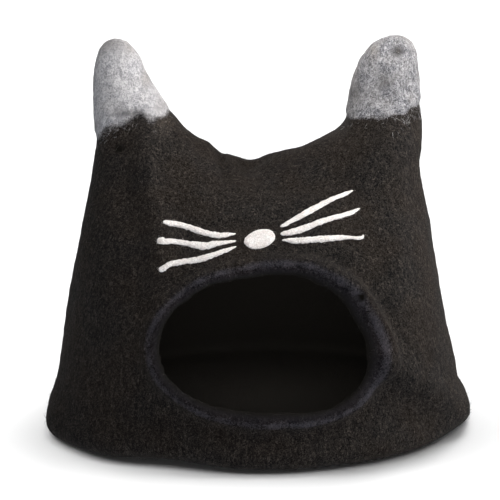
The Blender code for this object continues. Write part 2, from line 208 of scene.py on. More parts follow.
# %% Dents
Dent = namedtuple("Dent", "what place size push")
DENTS = [
    Dent("notch in the ridge", (-0.0405, 0, 0.272), (0.005, 0.035, 0.014), (0.0008, 0, -0.0058)),
    Dent("ridge, left of the notch", (-0.0550, 0, 0.280), (0.009, 0.035, 0.015), (0, 0, 0.0014)),
    Dent("low middle of the ridge", (-0.0110, 0, 0.265), (0.009, 0.035, 0.014), (0, 0, -0.0034)),
    Dent("swelling of the ridge, right", (0.0130, 0, 0.268), (0.013, 0.035, 0.015), (0, 0, 0.0040)),
    Dent("low place right of it", (0.0430, 0, 0.280), (0.009, 0.035, 0.015), (0, 0, -0.0016)),
    Dent("foot of the left ear", (-0.0785, 0, 0.300), (0.008, 0.040, 0.018), (-0.0004, 0, -0.0028)),
    Dent("inner side of the left ear, high", (-0.1210, 0, 0.366), 0.0100, (0.0012, 0, 0.0004)),
    Dent("inner side of the left ear, low", (-0.0970, 0, 0.330), 0.0100, (0.0012, 0, 0.0005)),
    Dent("foot of the right ear", (0.0835, 0, 0.303), (0.012, 0.040, 0.018), (0.0044, 0, -0.0034)),
    Dent("waist under the left grey wool", (-0.1700, 0, 0.285), 0.0140, (0.0026, 0, 0)),
    Dent("left wall, high", (-0.1810, 0, 0.205), 0.0280, (0.0028, 0, 0)),
    Dent("waist under the right ear", (0.1700, 0, 0.262), (0.020, 0.050, 0.018), (-0.0046, 0, 0)),
    Dent("right wall, high", (0.1800, 0, 0.203), (0.020, 0.050, 0.022), (0.0030, 0, 0)),
    Dent("right wall, middle", (0.1900, 0, 0.152), 0.0240, (0.0022, 0, 0)),
    Dent("tip of the right ear", (0.1500, 0, 0.390), 0.0260, (0.0012, 0, 0.0007)),
    Dent("left wall, low", (-0.2060, -0.020, 0.045), 0.0300, (0.0022, 0, 0)),
    Dent("left corner of the base", (-0.1980, -0.092, 0.004), 0.0330, (-0.0036, -0.0075, 0)),
    Dent("right wall, low", (0.2120, -0.030, 0.034), (0.022, 0.050, 0.012), (-0.0058, 0, 0)),
    Dent("right corner of the base", (0.214, -0.055, 0.001), (0.022, 0.05, 0.014), (0.0062, 0, 0)),
    Dent("base, front right", (0.2000, -0.100, 0.002), 0.0300, (0, 0.0016, 0)),
    Dent("flat of the base, front left",
         (-0.0850, -0.188, 0.000), (0.052, 0.055, 0.050), (0, 0.0160, 0.0030)),
]


def press(points):
    for dent in DENTS:
        off = np.linalg.norm((points - dent.place) / dent.size, axis=1)
        points = points + np.exp(-off * off)[:, None] * np.array(dent.push)
    return points


points = press(points_of(shell.data))
print("dents:", "; ".join(dent.what for dent in DENTS))

# %% [markdown]
# ## The rolled edge of the doorway
#
# The doorway is cut into the wet shell and its edge is rubbed round the maker's thumb, so the felt
# there thickens to a soft roll with a shallow valley outside it. A row of bearings round the
# middle of the doorway gives the edge's reach, how far from the edge the roll's crest runs, and
# its height: close by all round, but wide and high on the right, where the edge flares. First the
# edge itself is drawn smooth, then the roll and the valley are raised along the normals of both
# faces. The roll rises gently from the edge and falls off faster on its far side.

# %% Doorway
DOOR_MIDDLE = (0.005, 0.112)         # its x and z
# bearing (degrees, 0 to the right, 90 up), reach, crest behind the edge, height of the crest
DOORWAY = [
    (0, 0.0941, 0.0205, 0.0088), (15, 0.0855, 0.0192, 0.0094), (30, 0.0813, 0.0185, 0.0092),
    (45, 0.0744, 0.0170, 0.0074), (60, 0.0698, 0.0150, 0.0052), (75, 0.0647, 0.0130, 0.0036),
    (90, 0.0616, 0.0130, 0.0036), (105, 0.0614, 0.0125, 0.0036), (120, 0.0660, 0.0120, 0.0034),
    (135, 0.0743, 0.0120, 0.0036), (150, 0.0827, 0.0120, 0.0038), (165, 0.0937, 0.0122, 0.0038),
    (180, 0.0985, 0.0125, 0.0038), (195, 0.0952, 0.0125, 0.0038), (210, 0.0824, 0.0122, 0.0038),
    (225, 0.0710, 0.0120, 0.0038), (240, 0.0617, 0.0122, 0.0038), (255, 0.0573, 0.0125, 0.0038),
    (270, 0.0562, 0.0125, 0.0038), (285, 0.0582, 0.0122, 0.0038), (300, 0.0658, 0.0122, 0.0038),
    (315, 0.0774, 0.0125, 0.0046), (330, 0.0895, 0.0140, 0.0054), (345, 0.0961, 0.0175, 0.0070),
]
DOOR_FRONT = -0.10                   # the doorway's wall lies in front of this y
DOOR_ROWS = 900                      # rows of the smooth table


def around_door(points):
    """Bearing and distance of each point from the doorway's middle, as seen from the front."""
    x, z = points[:, 0] - DOOR_MIDDLE[0], points[:, 2] - DOOR_MIDDLE[1]
    return np.degrees(np.arctan2(z, x)) % 360, np.hypot(x, z)


full_turn = [(bearing - 360, *rest) for bearing, *rest in DOORWAY[-2:]] + DOORWAY
full_turn += [(bearing + 360, *rest) for bearing, *rest in DOORWAY[:3]]
door_rows = soft_row(full_turn, DOOR_ROWS)


def at_bearing(bearing, column):
    """A column of DOORWAY at any bearing: 1 for reach, 2 for crest, 3 for height."""
    return np.interp(bearing, door_rows[:, 0], door_rows[:, column])


print("doorway (mm wide, high):", 1000 * (at_bearing(0, 1) + at_bearing(180, 1)).round(3),
      1000 * (at_bearing(90, 1) + at_bearing(270, 1)).round(3))

# %% The edge drawn smooth
EDGE_BINS = 72                       # sectors in which the solid's own edge is looked for
EDGE_WITHIN = 0.14                   # it is nearer the doorway's middle than this
EDGE_HOLDS, EDGE_FADE = 0.004, 0.026     # how far behind the edge it moves fully, and at all

bearing, reach = around_door(points)
near_door = (points[:, 1] < DOOR_FRONT) & (reach < EDGE_WITHIN)
bins = (bearing * EDGE_BINS / 360).astype(int) % EDGE_BINS
edge_now = np.array([reach[near_door & (bins == k)].min() for k in range(EDGE_BINS)])
middles = (np.arange(EDGE_BINS) + 0.5) * 360 / EDGE_BINS
wanted = at_bearing(bearing, 1)
shift = wanted - np.interp(bearing, middles, edge_now, period=360)
outside = reach - wanted + shift
shift *= near_door * (1 - step(outside, EDGE_HOLDS, EDGE_FADE))
print("doorway edge moved by (mm):", (1000 * shift.min()).round(1), (1000 * shift.max()).round(1))
points[:, 0] += shift * np.cos(np.radians(bearing))
points[:, 2] += shift * np.sin(np.radians(bearing))
move_to(shell.data, points)

# %% The roll and the valley raised
ROLL_NEAR = 0.50                     # its width toward the edge, as a share of crest
ROLL_FAR = 0.0058                    # its width away from the edge
ROLL_INSIDE = 0.5                    # how much of it shows on the inner face
VALLEY_DEPTH = 0.0012
VALLEY_BEYOND, VALLEY_WIDE = 0.011, 0.0055     # how far past the crest it runs, and half its width
EDGE_ROUNDS = 5                      # rounds of smoothing after the roll is raised
MIDDLE = np.array([0.0, 0.0, 0.13])  # inside the cave: outer faces look away from it

normals = normals_of(shell.data)
faces_out = ((points - MIDDLE) * normals).sum(1) > 0
bearing, reach = around_door(points)
outside = reach - at_bearing(bearing, 1)
crest, height = at_bearing(bearing, 2), at_bearing(bearing, 3)
beyond = outside - crest
roll = np.exp(-((beyond / np.where(beyond < 0, ROLL_NEAR * crest, ROLL_FAR)) ** 2))
valley = np.exp(-(((beyond - VALLEY_BEYOND) / VALLEY_WIDE) ** 2))
raised = np.where(faces_out, height * roll - VALLEY_DEPTH * valley, ROLL_INSIDE * height * roll)
points += normals * (raised * (points[:, 1] < DOOR_FRONT))[:, None]
move_to(shell.data, points)
smooth(shell.data, EDGE_ROUNDS)
print("roll raised by (mm):", (1000 * raised.max()).round(1))

# %% [markdown]
# ## Folds and unevenness
#
# The broad unevenness is noise that pushes the whole wall outward or inward. The fine unevenness
# is pushed along each face. A few folds show well enough in the picture to be placed one by one,
# each as a line on the front with the width and the height of its swelling, or with a depth below
# zero for a hollow.

# %% Folds placed one by one
Fold = namedtuple("Fold", "what half_width height line")    # line: (x, z) points on the front
FOLDS = [
    Fold("tuck in the ridge", 0.0042, -0.0046,
         [(-0.0405, 0.286), (-0.0381, 0.270), (-0.0330, 0.256)]),
    Fold("bump right of the tuck", 0.0065, 0.0028, [(-0.0290, 0.284), (-0.0262, 0.267)]),
    Fold("flat right of that bump", 0.0080, -0.0024, [(-0.0105, 0.280), (-0.0095, 0.262)]),
    Fold("hollow under the ridge", 0.0100, -0.0024, [(-0.0330, 0.262), (0.0040, 0.260)]),
    Fold("swelling left of the tuck", 0.0090, 0.0022, [(-0.0540, 0.284), (-0.0500, 0.262)]),
    Fold("pucker under the left ear", 0.0080, 0.0020,
         [(-0.0760, 0.292), (-0.0640, 0.262), (-0.0600, 0.240)]),
    Fold("ledge of the ridge, right", 0.0120, 0.0036,
         [(0.0300, 0.2700), (0.0560, 0.2735), (0.0760, 0.2800)]),
    Fold("hollow below that ledge", 0.0130, -0.0026,
         [(0.0294, 0.2500), (0.0590, 0.2540), (0.0812, 0.2610)]),
    Fold("left crest", 0.0125, 0.0048,
         [(-0.1124, 0.298), (-0.1128, 0.281), (-0.1103, 0.263), (-0.1030, 0.234), (-0.0960, 0.204),
          (-0.0943, 0.178), (-0.0958, 0.159)]),
    Fold("flat left of the crest", 0.0170, -0.0040,
         [(-0.1345, 0.281), (-0.1330, 0.258), (-0.1290, 0.233), (-0.1240, 0.203), (-0.1210, 0.173),
          (-0.1210, 0.151)]),
    Fold("panel right of the crest", 0.0170, -0.0022,
         [(-0.0865, 0.268), (-0.0808, 0.239), (-0.0763, 0.220)]),
    Fold("hollow left of the right ear", 0.0170, -0.0032,
         [(0.0880, 0.282), (0.0880, 0.256), (0.0900, 0.234)]),
    Fold("crest under the right ear", 0.0150, 0.0034,
         [(0.1329, 0.300), (0.1338, 0.266), (0.1336, 0.232), (0.1325, 0.192), (0.1283, 0.158)]),
    Fold("fold to the right corner", 0.0120, 0.0070,
         [(0.1142, 0.104), (0.1281, 0.089), (0.1530, 0.0685), (0.1766, 0.048), (0.2031, 0.023)]),
    Fold("hollow below that fold", 0.0120, -0.0052,
         [(0.1120, 0.070), (0.1278, 0.058), (0.1484, 0.042), (0.1723, 0.0225)]),
    Fold("crease under the lip", 0.0070, -0.0010,
         [(-0.0779, 0.0590), (-0.0555, 0.0440), (-0.0279, 0.0355), (0.0043, 0.0330),
          (0.0364, 0.0342), (0.0689, 0.0385), (0.0925, 0.0480)]),
    Fold("pit by the doorway", 0.0026, -0.0044, [(0.0936, 0.1566), (0.0938, 0.1562)]),
    Fold("pit under the left ear", 0.0024, -0.0038, [(-0.1392, 0.2834), (-0.1394, 0.2830)]),
]
FRONT_ENDS_AT = 0.010      # y where the folds of the front have faded out


def distance_to_line(x, z, line):
    """How far each (x, z) is from a line of points."""
    nearest = np.full(len(x), 1.0)
    for (ax, az), (bx, bz) in zip(line, line[1:]):
        dx, dz = bx - ax, bz - az
        share = np.clip(((x - ax) * dx + (z - az) * dz) / (dx * dx + dz * dz), 0, 1)
        nearest = np.minimum(nearest, np.hypot(x - ax - share * dx, z - az - share * dz))
    return nearest


def fold_heights(points):
    total = np.zeros(len(points))
    for fold in FOLDS:
        off = distance_to_line(points[:, 0], points[:, 2], fold.line)
        total += fold.height * np.exp(-((off / fold.half_width) ** 2))
    return total


print("folds:", "; ".join(fold.what for fold in FOLDS))

# %% Unevenness of the whole shell
BROAD_SIZE, BROAD_HEIGHT = 0.075, 0.0020       # lumps that move the whole wall
BROAD_UP = 0.5                                 # how much of that lifts the ridge and the ears
BROAD_UP_FROM_TO = (0.10, 0.25)                # z where they start to be lifted, and where fully
FINE = ((0.026, 0.0007), (0.013, 0.0005), (0.008, 0.0003))    # size and height, on each face
FLOOR_FADE = 0.020                             # height where the wall starts to move freely
UNDERSIDE = 0.0012                             # points below this height lie on the floor

points = points_of(shell.data)
normals = normals_of(shell.data)
outward = points[:, :2] / np.maximum(np.hypot(points[:, 0], points[:, 1]), 1e-6)[:, None]
points[:, :2] += outward * (BROAD_HEIGHT * lumps(points, BROAD_SIZE, seed=1))[:, None]
rise = BROAD_UP * BROAD_HEIGHT * lumps(points, BROAD_SIZE, seed=2)
points[:, 2] += rise * step(points[:, 2], *BROAD_UP_FROM_TO)

swell = waves(points, FINE, seed=3)
front = step(-points[:, 1], -FRONT_ENDS_AT, FRONT_ENDS_AT) * faces_out
swell += fold_heights(points) * front
points += normals * (swell * step(points[:, 2], 0, FLOOR_FADE))[:, None]
points[:, 2] = np.where(points[:, 2] < UNDERSIDE, 0, points[:, 2])
move_to(shell.data, points)
shell.data.shade_smooth()
print("lowest and highest point:", points[:, 2].min().round(4), points[:, 2].max().round(4))

# %% [markdown]
# ## Where the grey wool ends
#
# The grey wool was laid over the ear ends while everything was loose, so its lower edge wanders
# and grey hairs have travelled into the black. A short table gives the edge on each ear as heights
# along x, and noise frays it. height_over_edge then says, for any point, how far above the edge it
# lies. The grey pieces, the black shell's flecks and the loose hairs all ask that one function.

# %% The frayed edge
GREY_EDGES = {
    "left": [(-0.175, 0.284), (-0.163, 0.293), (-0.156, 0.303), (-0.147, 0.306), (-0.139, 0.309),
             (-0.132, 0.313), (-0.124, 0.318), (-0.117, 0.3195), (-0.111, 0.316), (-0.104, 0.3135),
             (-0.096, 0.316), (-0.088, 0.323), (-0.080, 0.331)],
    "right": [(0.075, 0.313), (0.093, 0.3115), (0.103, 0.3135), (0.124, 0.3145), (0.135, 0.318),
              (0.144, 0.3185), (0.154, 0.323), (0.170, 0.326)],
}
FRAY = ((0.011, 0.0030), (0.0045, 0.0018))     # size and height of the edge's waves
FRAY_WITHIN = 0.05                             # further off than this, they make no difference


def height_over_edge(points):
    heights = np.empty(len(points))
    for side, edge in GREY_EDGES.items():
        on_side = points[:, 0] < 0 if side == "left" else points[:, 0] >= 0
        xs, zs = zip(*edge)
        heights[on_side] = points[on_side, 2] - np.interp(points[on_side, 0], xs, zs)
    near = np.abs(heights) < FRAY_WITHIN
    heights[near] += waves(points[near], FRAY, seed=11)
    return heights


def write_values(piece, name, values):
    """Keeps one number a point on the mesh, for the material to read."""
    attribute = piece.data.attributes.new(name, "FLOAT", "POINT")
    attribute.data.foreach_set("value", np.asarray(values, np.float32))


# %% How grey, how dark and how brown the wool is, with painted shade and painted rim light
# heights over the edge where the grey starts and is full
SOFT_EDGE = {"left": (-0.0150, 0.0095), "right": (-0.0070, 0.0055)}
TUFTS_END = (-0.008, 0.008)        # y where the tufts of the front fade out
TUFTS_LOSE = 0.8                   # how much of them has gone behind that
Tuft = namedtuple("Tuft", "kind what x z wide high share")
TUFTS = [
    Tuft("dark", "black tuft near the right tip", 0.1385, 0.3770, 0.0065, 0.0055, 0.62),
    # painted shade: a dark strip down the left ear's outer edge, for the shade where the ear turns
    # away from the light
    Tuft("dark", "painted shade down the left ear's outer edge", -0.1730, 0.3460, 0.0050, 0.0190, 0.72),
    Tuft("dark", "black hairs low on that edge", -0.1680, 0.3010, 0.0080, 0.0080, 0.35),
    Tuft("dark", "black wisps above the left ear's edge", -0.1300, 0.3170, 0.0200, 0.0050, 0.45),
    Tuft("dark", "veil of black on the right ear", 0.1250, 0.3480, 0.0110, 0.0150, 0.35),
    Tuft("dark", "veil on the right ear's left side", 0.0980, 0.3370, 0.0080, 0.0140, 0.30),
    Tuft("dark", "veil over the left ear's top", -0.1500, 0.3840, 0.0220, 0.0110, 0.34),
    # painted warm rim light: brown along the ears' edges stands in for the warm light the rims
    # catch; the lock at the left ear's foot and the hairs above it are real brown wool
    Tuft("brown", "painted warm rim light, left ear, inner edge high", -0.1290, 0.3820, 0.0100, 0.0130, 0.50),
    Tuft("brown", "painted warm rim light, left ear, inner edge", -0.1140, 0.3520, 0.0070, 0.0160, 0.50),
    Tuft("brown", "painted warm rim light, left ear, outer edge low", -0.1720, 0.3080, 0.0060, 0.0120, 0.45),
    Tuft("brown", "painted warm rim light, right ear, inner edge", 0.1150, 0.3760, 0.0070, 0.0130, 0.45),
    Tuft("brown", "painted warm rim light, right ear, top", 0.1480, 0.3940, 0.0160, 0.0050, 0.50),
    Tuft("brown", "painted warm rim light, right ear, outer edge", 0.1690, 0.3600, 0.0050, 0.0260, 0.55),
    Tuft("brown", "brown lock at the left ear's foot", -0.0960, 0.3060, 0.0140, 0.0150, 0.36),
    Tuft("brown", "brown hairs above it", -0.1000, 0.3220, 0.0090, 0.0130, 0.35),
]


def grey_share(points):
    """0 well below the edge, 1 well above it: how much of the wool there is grey."""
    over = height_over_edge(points)
    shares = [step(over, *SOFT_EDGE[side]) for side in ("left", "right")]
    return np.where(points[:, 0] < 0, *shares)


def tuft_share(points, kind):
    """How much black or brown lies at each point, 0 to 1: wool laid on, and along some edges of
    the ears painted shade and painted warm rim light.
    """
    total = np.zeros(len(points))
    for tuft in TUFTS:
        if tuft.kind == kind:
            off = np.hypot((points[:, 0] - tuft.x) / tuft.wide, (points[:, 2] - tuft.z) / tuft.high)
            total = np.maximum(total, tuft.share * np.exp(-off * off))
    return total * (1 - TUFTS_LOSE * step(points[:, 1], *TUFTS_END))


def write_wools(piece):
    points = points_of(piece.data)
    write_values(piece, "grey_share", grey_share(points))
    for kind in ("dark", "brown"):
        write_values(piece, kind + "_share", tuft_share(points, kind))


write_wools(shell)
print("tufts:", "; ".join(tuft.what for tuft in TUFTS))

# %% [markdown]
# ## Where the inner wool shows
#
# The first layer on the form was plain black wool with hardly a light hair in it. It is the inside
# of the cave now, and it shows round the doorway's edge. The maker rubbed the roll behind the edge
# hard, so that it looks bluer than the wall. Along its crest a light grey is laid on as a painted
# highlight, for the light that the crest catches. The cut edge itself and two small pits are
# painted near black as painted shade, for the shade that falls where the edge rolls in and in the
# pits. The shell keeps how much of each lies where.

# %% Inner wool
# Distances behind the doorway's edge are shares here: 0 is the edge and 1 the roll's crest.
LIP_TO = (0.50, 1.50)                 # where the bluer wool starts to fade, and where it has gone
INNER_SHARE, INNER_TO = 0.75, (0.20, 0.65)     # how much inner wool shows at the edge, and how far
PAINTED_SHADE_TO = (-0.10, 0.50)             # painted shade of the cut edge: where it starts to fade, and where it has gone
# painted highlight along the roll's crest: where it runs, as a share, and its half width
CREST_HIGHLIGHT_AT, CREST_HIGHLIGHT_WIDE = 0.88, 0.42
CREST_HIGHLIGHT_SHARE = 0.76                   # how strong the painted highlight is
CREST_HIGHLIGHT_LUMPS = (0.012, 0.3)           # size and share of its unevenness
CREST_HIGHLIGHT_MORE = (20, 25, 0.12)          # bearing, reach and share of the part where the painted highlight is strongest
INWARD = (-0.03, -0.01)               # how far a face looks toward MIDDLE, in metres
ROOF = 0.26                           # the cabin ends below this z; above it are the hollow ears
PITS, PIT_REACH, PIT_SHADE_SHARE = ((0.0937, 0.1564), (-0.1393, 0.2832)), 0.0034, 1.8    # x and z of each pit, how far its painted shade reaches, and how strong it is

points = points_of(shell.data)
bearing, reach = around_door(points)
behind_edge = (reach - at_bearing(bearing, 1)) / at_bearing(bearing, 2)
by_door = points[:, 1] < DOOR_FRONT
inward = 1 - step(((points - MIDDLE) * normals_of(shell.data)).sum(1), *INWARD)

on_lip = by_door * (1 - step(behind_edge, *LIP_TO))
inner = by_door * INNER_SHARE * (1 - step(behind_edge, *INNER_TO))
inner = np.maximum(inward * (points[:, 2] < ROOF), inner)
# painted highlight along the roll's crest, strongest on the right, where the flared edge catches
# the light
highlight_on_crest = by_door * (1 - inward) * np.exp(-(((behind_edge - CREST_HIGHLIGHT_AT) / CREST_HIGHLIGHT_WIDE) ** 2))
highlight_on_crest *= CREST_HIGHLIGHT_SHARE * (1 + CREST_HIGHLIGHT_LUMPS[1] * lumps(points, CREST_HIGHLIGHT_LUMPS[0], seed=41))
turned = (bearing - CREST_HIGHLIGHT_MORE[0] + 180) % 360 - 180
highlight_on_crest *= 1 + CREST_HIGHLIGHT_MORE[2] * np.exp(-((turned / CREST_HIGHLIGHT_MORE[1]) ** 2))
# painted shade: the cut edge and the two pits are darkened for the shade that falls there
painted_shade = by_door * (1 - step(behind_edge, *PAINTED_SHADE_TO))
for x, z in PITS:
    off = np.hypot(points[:, 0] - x, points[:, 2] - z) / PIT_REACH
    painted_shade = np.maximum(painted_shade, (points[:, 1] < 0) * (1 - inward) * PIT_SHADE_SHARE * np.exp(-off * off))
for name, share in (("lip", on_lip), ("crest_highlight", highlight_on_crest), ("inside", inner), ("painted_shade", painted_shade)):
    write_values(shell, name + "_share", share)
print("points of painted crest highlight and of painted shade:", (highlight_on_crest > 0.1).sum(), (painted_shade > 0.1).sum())

# %% [markdown]
# ## The grey ear ends
#
# Each is a layer of grey wool about 2 mm thick on the black ear. The layer follows the ear
# exactly, so it is made from the ear's own outer faces: they are copied, made four times finer,
# and lifted off the black. Toward the lower edge the lift fades and ends below the black surface,
# so that the visible edge is where the two surfaces cross, and no step shows. A Solidify modifier
# closes it.
#
# The ear is hollow, so its inner faces have to be left out. A ray that leaves an inner face hits
# the other side of the hollow within a few centimetres, and one that leaves an outer face doesn't.

# %% Grey layers
EAR_WIDTH = 0.09                 # a ray that hits something nearer than this is inside the ear
LAYER = 0.0020                   # how far the grey wool stands off the black ear
TUCK = -0.0010                   # where it ends, below the black surface
LAYER_STARTS, LAYER_FULL = -0.005, 0.006     # heights over the edge
TUCKED_LENGTH = 0.009            # how far it runs on below its edge
WOOL_WAVES = ((0.012, 0.0005), (0.005, 0.00035), (0.0024, 0.0002))    # their size and height
WAVES_START = (-0.002, 0.004)    # heights over the edge between which they grow
LAYER_BACK = 0.0012              # thickness that closes the layer behind
EARS_ABOVE, EARS_BEYOND = 0.26, 0.06     # the ears are above this z and further out than this x
RAY_OFF = 0.001                  # rays start this far off the face

shell_tree = BVHTree.FromObject(shell, bpy.context.evaluated_depsgraph_get())


def is_outer(point, normal):
    hit = shell_tree.ray_cast(point + normal * RAY_OFF, normal, EAR_WIDTH)
    return hit[0] is None


def grey_layer(side):
    toward = -1 if side == "left" else 1
    points = points_of(shell.data)
    heights = height_over_edge(points)
    chosen = [f.vertices[:] for f in shell.data.polygons
              if f.center.z > EARS_ABOVE and f.center.x * toward > EARS_BEYOND
              and min(heights[v] for v in f.vertices) > -TUCKED_LENGTH
              and is_outer(f.center, f.normal)]
    used = sorted({v for face in chosen for v in face})
    place = {v: k for k, v in enumerate(used)}
    faces = [[place[v] for v in face] for face in chosen]
    piece = new_piece("grey_wool_" + side, points[used], faces)
    finer = piece.modifiers.new("finer", "SUBSURF")
    finer.levels = finer.render_levels = 2
    apply_modifiers(piece)
    skin, up = points_of(piece.data), normals_of(piece.data)
    over = height_over_edge(skin)
    lift = TUCK + (LAYER - TUCK) * step(over, LAYER_STARTS, LAYER_FULL)
    lift += waves(skin, WOOL_WAVES, seed=21) * step(over, *WAVES_START)
    move_to(piece.data, skin + up * lift[:, None])
    write_wools(piece)
    thick = piece.modifiers.new("thick", "SOLIDIFY")
    thick.thickness, thick.offset = LAYER_BACK, -1
    apply_modifiers(piece)
    piece.data.shade_smooth()
    print(piece.name, "has", len(piece.data.polygons), "faces")
    return piece


grey_layers = {side: grey_layer(side) for side in GREY_EDGES}

# %% [markdown]
# ## White wool: whiskers and nose
#
# A felter draws with wool: a thin roving is laid on the felt and a barbed needle pushes its hairs
# in, so the strand lies flat, bulges a little between the pricks and is never one width. Each
# strand is a row of (x, z) points on the front with its half width there, from the nose outward. A
# smooth line goes through them, and a low dome is swept along it. Every point of the dome is set
# on the wall itself: a ray from the front finds the wall at that x and z, and the wall's normal
# there says which way is up.

# %% Finding the wall
OUT_FRONT = 0.6           # rays start this far in front of the cave's middle


def on_wall(x, z):
    """Where the front wall is at this x and z, and which way it faces."""
    place, normal, _, _ = shell_tree.ray_cast(Vector((x, -OUT_FRONT, z)), Vector((0, 1, 0)))
    return place, normal


# %% Whiskers
STRANDS = {
    "left_top": [
        (-0.0228, 0.2096, 0.0005), (-0.0300, 0.2090, 0.0015), (-0.0385, 0.2083, 0.0022),
        (-0.0512, 0.2100, 0.0023), (-0.0627, 0.2134, 0.0024), (-0.0781, 0.2171, 0.0023),
        (-0.0880, 0.2190, 0.0020), (-0.0925, 0.2203, 0.0009),
    ],
    "left_middle": [
        (-0.0225, 0.2036, 0.0006), (-0.0300, 0.2027, 0.0014), (-0.0385, 0.2018, 0.0020),
        (-0.0525, 0.1995, 0.0030), (-0.0620, 0.2003, 0.0025), (-0.0701, 0.2014, 0.0021),
        (-0.0844, 0.2034, 0.0022), (-0.0940, 0.2040, 0.0030), (-0.0975, 0.2045, 0.0018),
    ],
    "left_bottom": [
        (-0.0225, 0.1988, 0.0006), (-0.0321, 0.1957, 0.0018), (-0.0439, 0.1918, 0.0022),
        (-0.0556, 0.1884, 0.0027), (-0.0697, 0.1862, 0.0023), (-0.0839, 0.1842, 0.0023),
        (-0.0915, 0.1802, 0.0024), (-0.0950, 0.1787, 0.0017),
    ],
    "right_top": [
        (0.0195, 0.2156, 0.0007), (0.0235, 0.2172, 0.0014), (0.0345, 0.2225, 0.0020),
        (0.0459, 0.2280, 0.0024), (0.0580, 0.2335, 0.0022), (0.0700, 0.2388, 0.0018),
        (0.0830, 0.2433, 0.0015), (0.0905, 0.2462, 0.0007),
    ],
    "right_middle": [
        (0.0195, 0.2096, 0.0010), (0.0240, 0.2100, 0.0020), (0.0345, 0.2122, 0.0026),
        (0.0456, 0.2155, 0.0025), (0.0560, 0.2192, 0.0023), (0.0680, 0.2227, 0.0021),
        (0.0790, 0.2248, 0.0021), (0.0880, 0.2271, 0.0018), (0.0965, 0.2308, 0.0007),
    ],
    "right_bottom": [
        (0.0208, 0.2042, 0.0006), (0.0262, 0.2042, 0.0014), (0.0330, 0.2037, 0.0023),
        (0.0480, 0.2046, 0.0026), (0.0640, 0.2057, 0.0026), (0.0770, 0.2064, 0.0020),
        (0.0860, 0.2064, 0.0012), (0.0930, 0.2056, 0.0014), (0.0972, 0.2062, 0.0013),
        (0.0984, 0.2085, 0.0006),
    ],
}
STRAND_STEP = 0.0007      # between two rings of a strand
STRAND_SIDES = 16
STRAND_PROUD = 0.0012     # how far it stands off the wall at its middle
STRAND_SUNK = 0.0008      # how far its underside is pushed into the wall
STRAND_FULL = 0.0022      # half width from which it stands fully proud
END_ROUND = 0.0018        # length over which each end closes
END_LEAST = 0.04          # the share of that length at which the last ring is drawn
ROUGH_EDGE = ((0.0045, 0.20), (0.0016, 0.30))    # size of the bulges, and their share of the width
EDGES_APART = 0.02        # how far apart in the noise the bulges of its two edges are read


def strand(name, rows):
    length = sum(math.dist(a[:2], b[:2]) for a, b in zip(rows, rows[1:]))
    line = soft_row(rows, int(length / STRAND_STEP))
    along = np.gradient(line[:, :2], axis=0)
    along /= np.linalg.norm(along, axis=1)[:, None]
    to_end = np.minimum(np.arange(len(line)), np.arange(len(line))[::-1]) * STRAND_STEP
    line[:, 2] *= np.sqrt(np.clip(to_end / END_ROUND, END_LEAST, 1))
    made = []
    for (x, z, half), (ax, az) in zip(line, along):
        for k in range(STRAND_SIDES):
            turn = 2 * math.pi * k / STRAND_SIDES
            side, rise = math.cos(turn), math.sin(turn)
            spot = Vector((x, EDGES_APART * side, z))
            bulge = 1 + sum(share * noise.noise(spot / size) for size, share in ROUGH_EDGE)
            wall, up = on_wall(x - az * side * half * bulge, z + ax * side * half * bulge)
            rise *= STRAND_PROUD * bulge * min(1, half / STRAND_FULL) if rise > 0 else STRAND_SUNK
            made.append(wall + up * rise)
    ends = [list(range(STRAND_SIDES))[::-1], list(range(len(made) - STRAND_SIDES, len(made)))]
    piece = new_piece(name, made, ring_faces(len(line), STRAND_SIDES) + ends)
    close_outward(piece)
    return piece


def close_outward(piece):
    """Turns the faces so that they all point out, and shades them smooth."""
    mesh = piece.data
    corners = np.array([mesh.vertices[v].co for t in triangles(mesh) for v in t]).reshape(-1, 3, 3)
    volume = np.einsum("ij,ij->i", corners[:, 0], np.cross(corners[:, 1], corners[:, 2])).sum()
    if volume < 0:
        mesh.flip_normals()
    mesh.shade_smooth()


def triangles(mesh):
    mesh.calc_loop_triangles()
    return [t.vertices[:] for t in mesh.loop_triangles]


strands = {name: strand("whisker_wool_" + name, rows) for name, rows in STRANDS.items()}
print("whiskers:", sum(len(s.data.polygons) for s in strands.values()), "faces")

# %% [markdown]
# ## The nose
#
# The nose is a dab of the same white wool, needled all over, so it is a low flat dome with a full
# round edge. It is laid out as rings round its middle, from the top of the dome out to its edge
# and back under, and each point is set on the wall as the whiskers' points are.

# %% Nose
NOSE_X, NOSE_Z = -0.0003, 0.2050
NOSE_WIDE, NOSE_HIGH = 0.0150, 0.0078      # half sizes
NOSE_TILT = math.radians(12)
NOSE_PROUD = 0.0020
NOSE_RINGS, NOSE_SIDES = 16, 72
NOSE_FIRST = 0.03         # the first ring's angle from the top of the dome, in radians
NOSE_UNDER = (0.96, -0.35)      # the last ring lies under the wall: its width and depth, as shares
NOSE_FLAT = 0.6           # a power below 1 flattens the dome's top and steepens its edge
NOSE_EDGE = ((1.6, 0.05, 4), (5, 0.03, 9))      # how often its edge bulges, how much, and the seed
NOSE_LUMPS = (0.004, 0.0003)    # size and height


